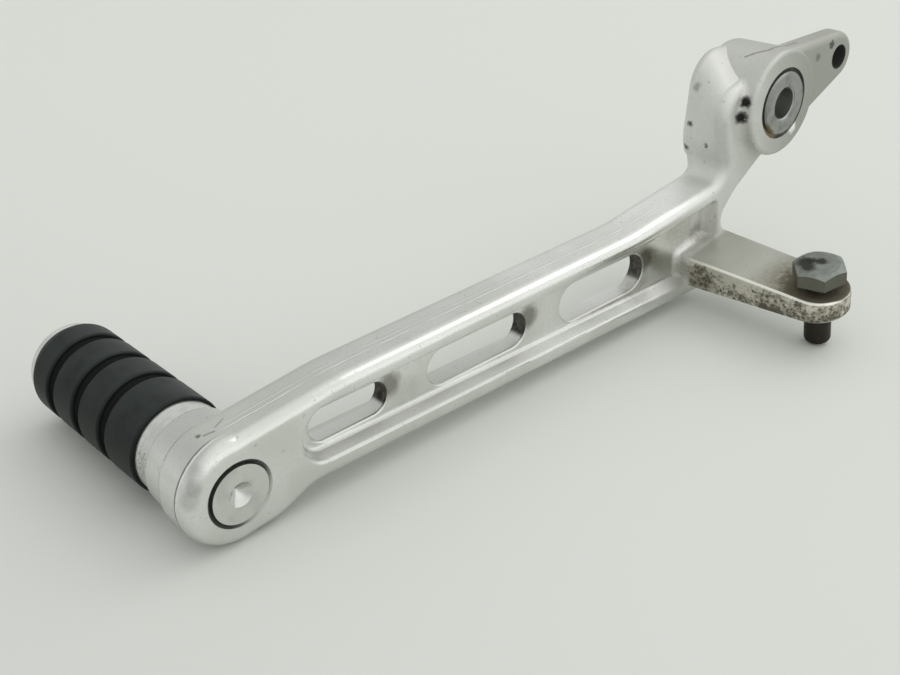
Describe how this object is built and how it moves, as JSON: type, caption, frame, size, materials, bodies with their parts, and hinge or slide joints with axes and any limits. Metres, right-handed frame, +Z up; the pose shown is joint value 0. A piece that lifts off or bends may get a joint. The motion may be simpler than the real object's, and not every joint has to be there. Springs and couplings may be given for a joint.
{
  "type": "rear brake pedal",
  "caption": "Motorbike rear brake pedal: forged arm with slots, fixed toe peg with ribbed rubber, pivot sleeve, push-rod lever and stop bolt",
  "frame": {"origin": "on the pivot axis, in the parting plane of the forged arm", "axes": "+X to the rear (towards the push-rod eye), +Y outboard along the pivot and the toe peg, +Z up with the beam of the arm level"},
  "size_m": [0.2061, 0.1055, 0.0611],
  "materials": {
    "forged_aluminium": "satin, tumbled forging",
    "turned_aluminium": "fine turned",
    "peg_rubber": "satin moulded",
    "bearing_bronze": "plain bearing",
    "sleeve_steel": "turned, zinc grey",
    "seal_rubber": "matt",
    "bolt_steel": "dark worn zinc"
  },
  "bodies": {
    "pedal": {"pedal_arm": "forged_aluminium", "toe_peg": "turned_aluminium", "toe_rubber": "peg_rubber", "pivot_bush": "bearing_bronze", "dust_seal_inboard": "seal_rubber", "dust_seal_outboard": "seal_rubber"},
    "sleeve": {"pivot_sleeve": "sleeve_steel"},
    "adjuster": {"stop_bolt": "bolt_steel"}
  },
  "joints": [
    {"name": "pivot_turn", "type": "hinge", "parent": "pedal", "child": "sleeve", "pos_m": [0, 0, 0], "axis": [0, 1, 0], "continuous": true},
    {"name": "stop_adjust", "type": "slide", "parent": "pedal", "child": "adjuster", "axis": [-0.1736, 0, 0.9848], "range_m": [-0.002, 0.01]}
  ]
}
